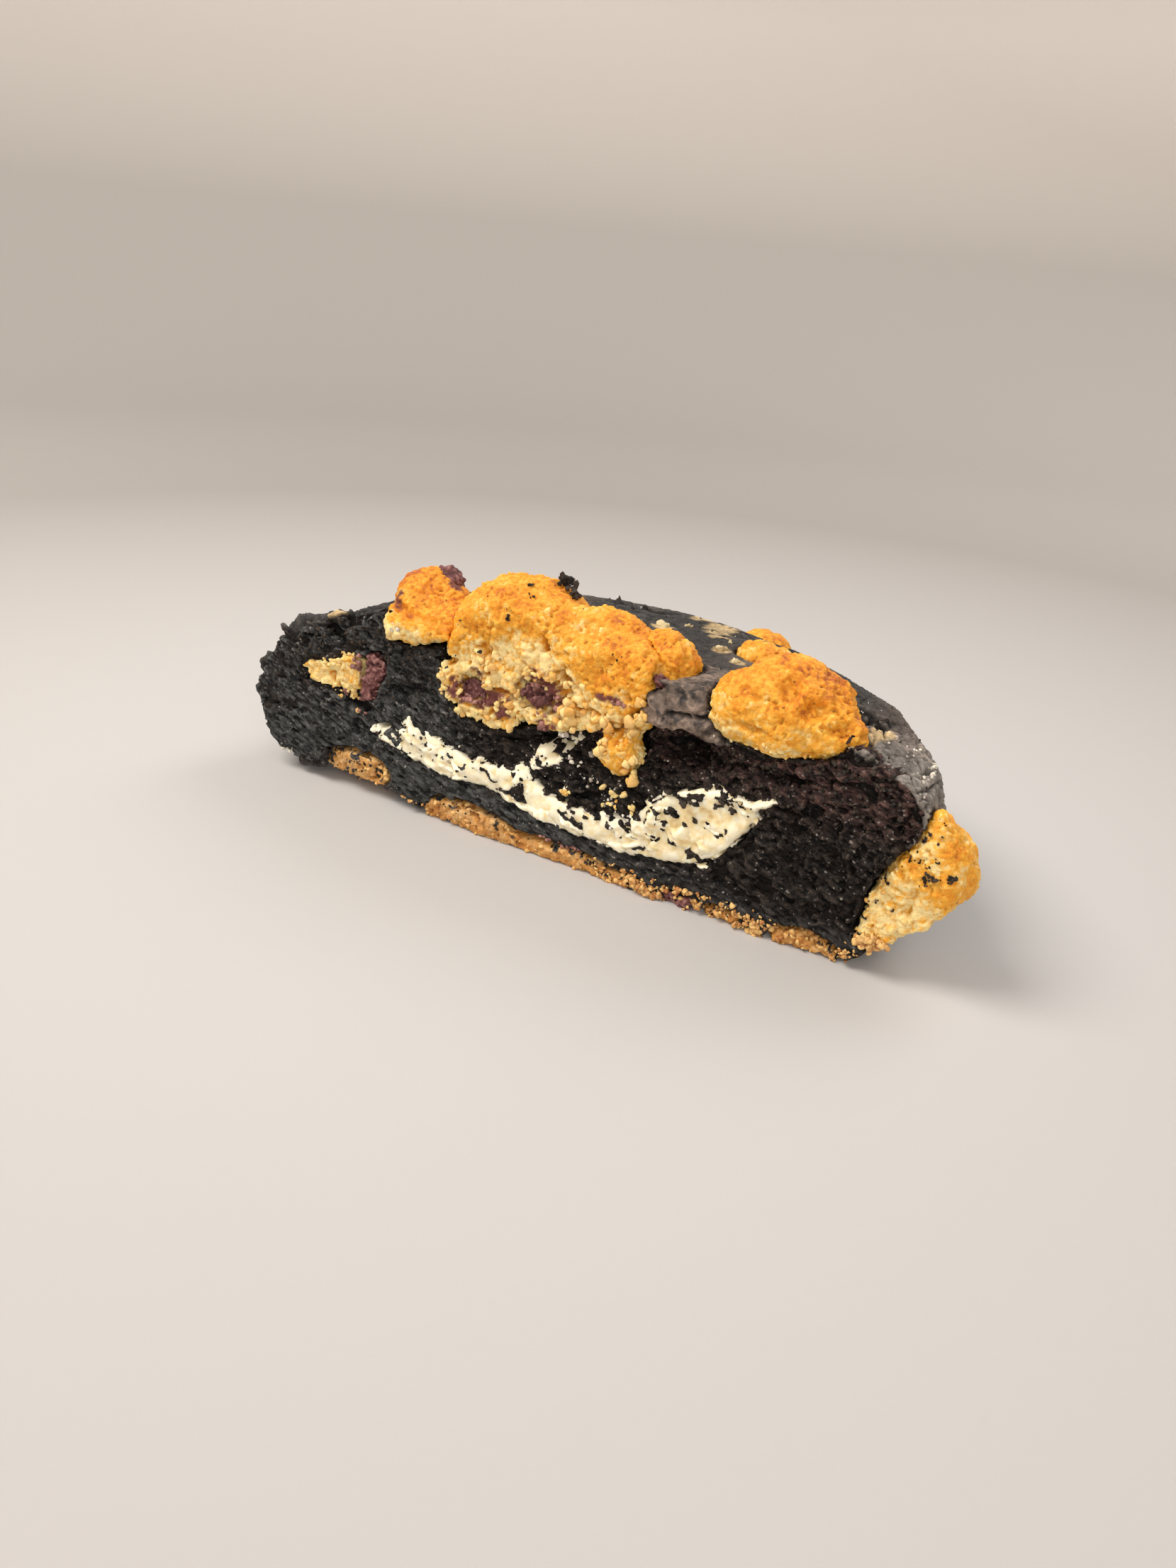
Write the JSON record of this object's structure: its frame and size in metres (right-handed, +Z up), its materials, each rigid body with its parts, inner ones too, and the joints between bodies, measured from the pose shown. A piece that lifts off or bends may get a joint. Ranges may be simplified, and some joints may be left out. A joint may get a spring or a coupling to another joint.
{
  "type": "filled cookie half",
  "caption": "Cut half of a thick domed black brownie cookie, with a cream filling along the cut, golden dough chunks on and in it, and chocolate pieces; rests on its flat base.",
  "frame": {"origin": "on the flat base, 20 mm behind the middle of the cut face, close below the middle of the weight", "axes": "+X along the cut towards its right end, +Y from the cut face to the round back, +Z up"},
  "size_m": [0.1063, 0.051, 0.0352],
  "materials": {
    "black_crumb": "dry open crumb, near-black cocoa, matte crust",
    "cream": "curdled ivory cream, soft satin",
    "golden_dough": "baked golden skin, granular pale inside where cut",
    "chocolate": "smeared purple-brown chocolate, satin"
  },
  "bodies": {
    "root": {"crumb_body": "black_crumb", "cream": "cream", "chunk_middle": "golden_dough", "chunk_left": "golden_dough", "chunk_small": "golden_dough", "chunk_right": "golden_dough", "chunk_back": "golden_dough", "chunk_rim": "golden_dough", "chunk_rear": "golden_dough", "chunk_end": "golden_dough", "chunk_wedge": "golden_dough", "dough_crumb": "golden_dough", "base_patch_1": "golden_dough", "base_patch_2": "golden_dough", "base_patch_3": "golden_dough", "base_patch_4": "golden_dough", "chocolate_1": "chocolate", "chocolate_2": "chocolate", "chocolate_3": "chocolate", "chocolate_4": "chocolate", "chocolate_5": "chocolate", "chocolate_6": "chocolate"}
  },
  "joints": []
}
